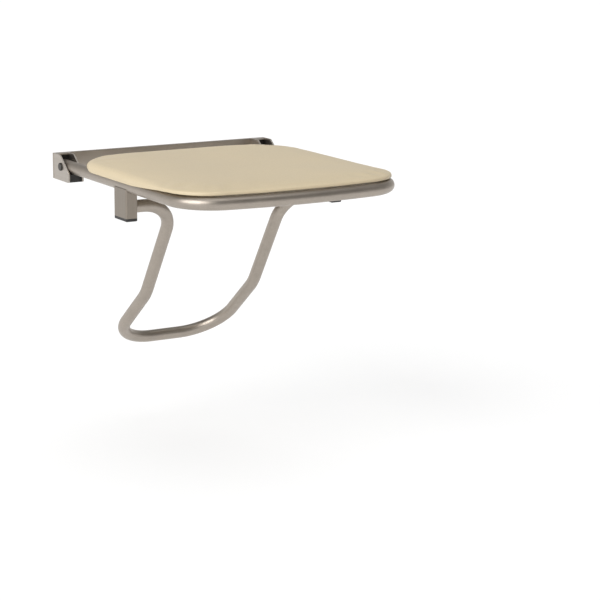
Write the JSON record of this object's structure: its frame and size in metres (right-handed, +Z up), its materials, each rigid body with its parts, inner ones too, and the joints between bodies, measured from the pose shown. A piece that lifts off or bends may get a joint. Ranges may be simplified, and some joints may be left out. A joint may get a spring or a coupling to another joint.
{
  "type": "fold down wall seat",
  "caption": "Folding bathroom seat with a padded top on a bent steel tube frame, hinged to a wall rail and propped by a swinging tube loop.",
  "frame": {"origin": "on the wall, at the middle of the rail's row of screw holes", "axes": "+Z up, +X along the wall to the right as seen from the room, -Y out of the wall into the room"},
  "size_m": [0.405, 0.486, 0.3446],
  "materials": {
    "satin_steel": "satin",
    "bright_steel": "satin",
    "black_plastic": "satin",
    "natural_nylon": "matte",
    "seat_board": "matte",
    "seat_pad": "satin"
  },
  "bodies": {
    "base": {"wall_rail": "satin_steel", "hinge_bracket_left": "satin_steel", "hinge_bracket_right": "satin_steel", "stop_insert_left": "black_plastic", "stop_insert_right": "black_plastic", "hinge_pin_left": "bright_steel", "hinge_pin_right": "bright_steel", "hinge_clip_left": "bright_steel", "hinge_clip_right": "bright_steel"},
    "seat": {"seat_frame": "satin_steel", "hinge_sleeve_left": "natural_nylon", "hinge_sleeve_right": "natural_nylon", "arm_plug_left": "black_plastic", "arm_plug_right": "black_plastic", "post_left": "satin_steel", "post_right": "satin_steel", "pivot_block_left": "natural_nylon", "pivot_block_right": "natural_nylon", "post_cap_left": "black_plastic", "post_cap_right": "black_plastic", "cross_bar_rear": "satin_steel", "cross_bar_front": "satin_steel", "seat_board": "seat_board", "board_screws": "bright_steel", "seat_pad": "seat_pad"},
    "leg": {"support_loop": "satin_steel", "spigot_left": "bright_steel", "spigot_right": "bright_steel", "stop_dowel_left": "bright_steel", "stop_dowel_right": "bright_steel"}
  },
  "joints": [
    {"name": "seat_fold", "type": "hinge", "parent": "base", "child": "seat", "pos_m": [0, -0.032, 0.002], "axis": [-1, 0, 0], "range_deg": [0, 90]},
    {"name": "leg_swing", "type": "hinge", "parent": "seat", "child": "leg", "pos_m": [0, -0.246, -0.033], "axis": [1, 0, 0], "range_deg": [0, 50]}
  ]
}
